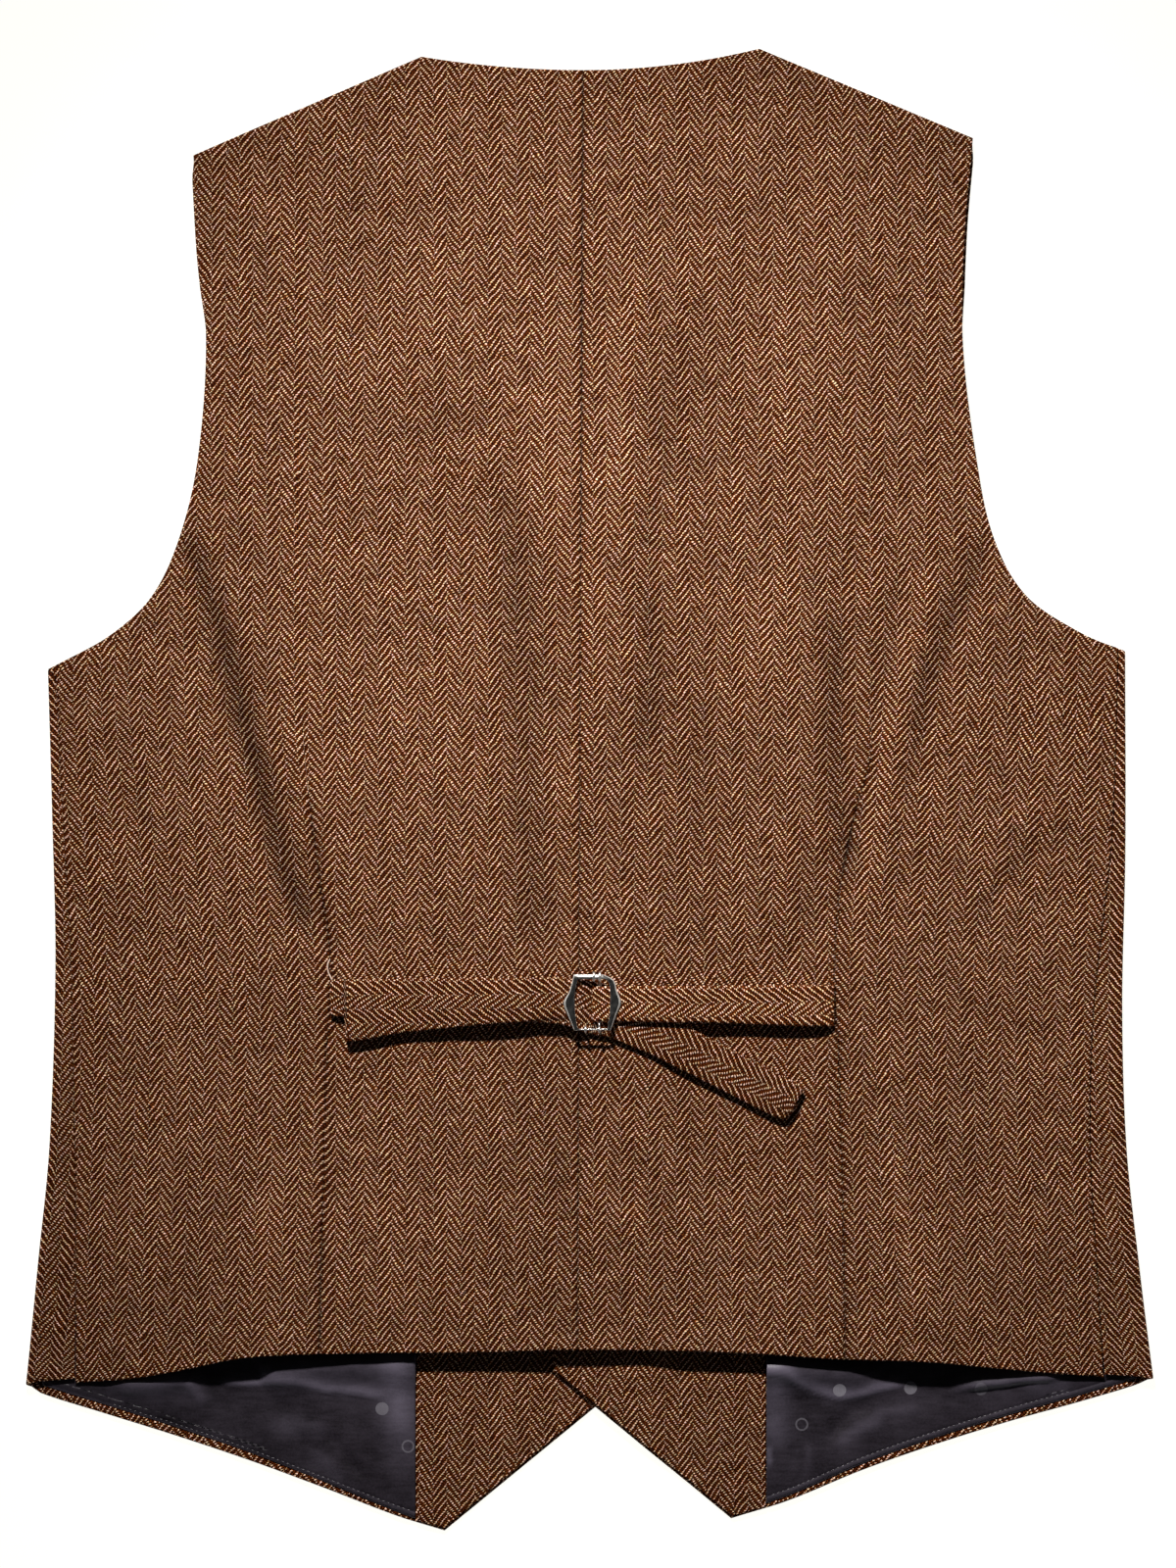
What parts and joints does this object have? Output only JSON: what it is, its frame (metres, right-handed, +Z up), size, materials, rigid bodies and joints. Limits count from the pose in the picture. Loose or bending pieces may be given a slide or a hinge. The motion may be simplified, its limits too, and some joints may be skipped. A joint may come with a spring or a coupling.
{
  "type": "suit waistcoat",
  "caption": "Herringbone tweed suit waistcoat laid flat with its back up: lapped buttoned fronts, pointed hems, cinch straps and a metal buckle.",
  "frame": {"origin": "middle of the laid-out garment's box, on the surface it lies on", "axes": "+X to the right and +Y towards the neck as the back is seen from above, +Z up, out of the back"},
  "size_m": [0.5432, 0.7142, 0.0174],
  "materials": {
    "tweed": "woollen herringbone twill, dry and slightly hairy",
    "lining": "dark satin with small woven dots",
    "buckle": "polished nickel plate",
    "button": "dark horn, satin polish"
  },
  "bodies": {
    "root": {"front_left": "tweed", "front_right": "tweed", "back_left": "tweed", "back_right": "tweed", "facing_left": "tweed", "facing_right": "tweed", "lining_left": "lining", "lining_right": "lining", "strap_left": "tweed", "strap_right": "tweed", "buckle_frame": "buckle", "buckle_prong_bar": "buckle", "buckle_fixed_bar": "buckle", "button_1": "button", "button_2": "button", "button_3": "button", "button_4": "button", "button_5": "button"}
  },
  "joints": []
}
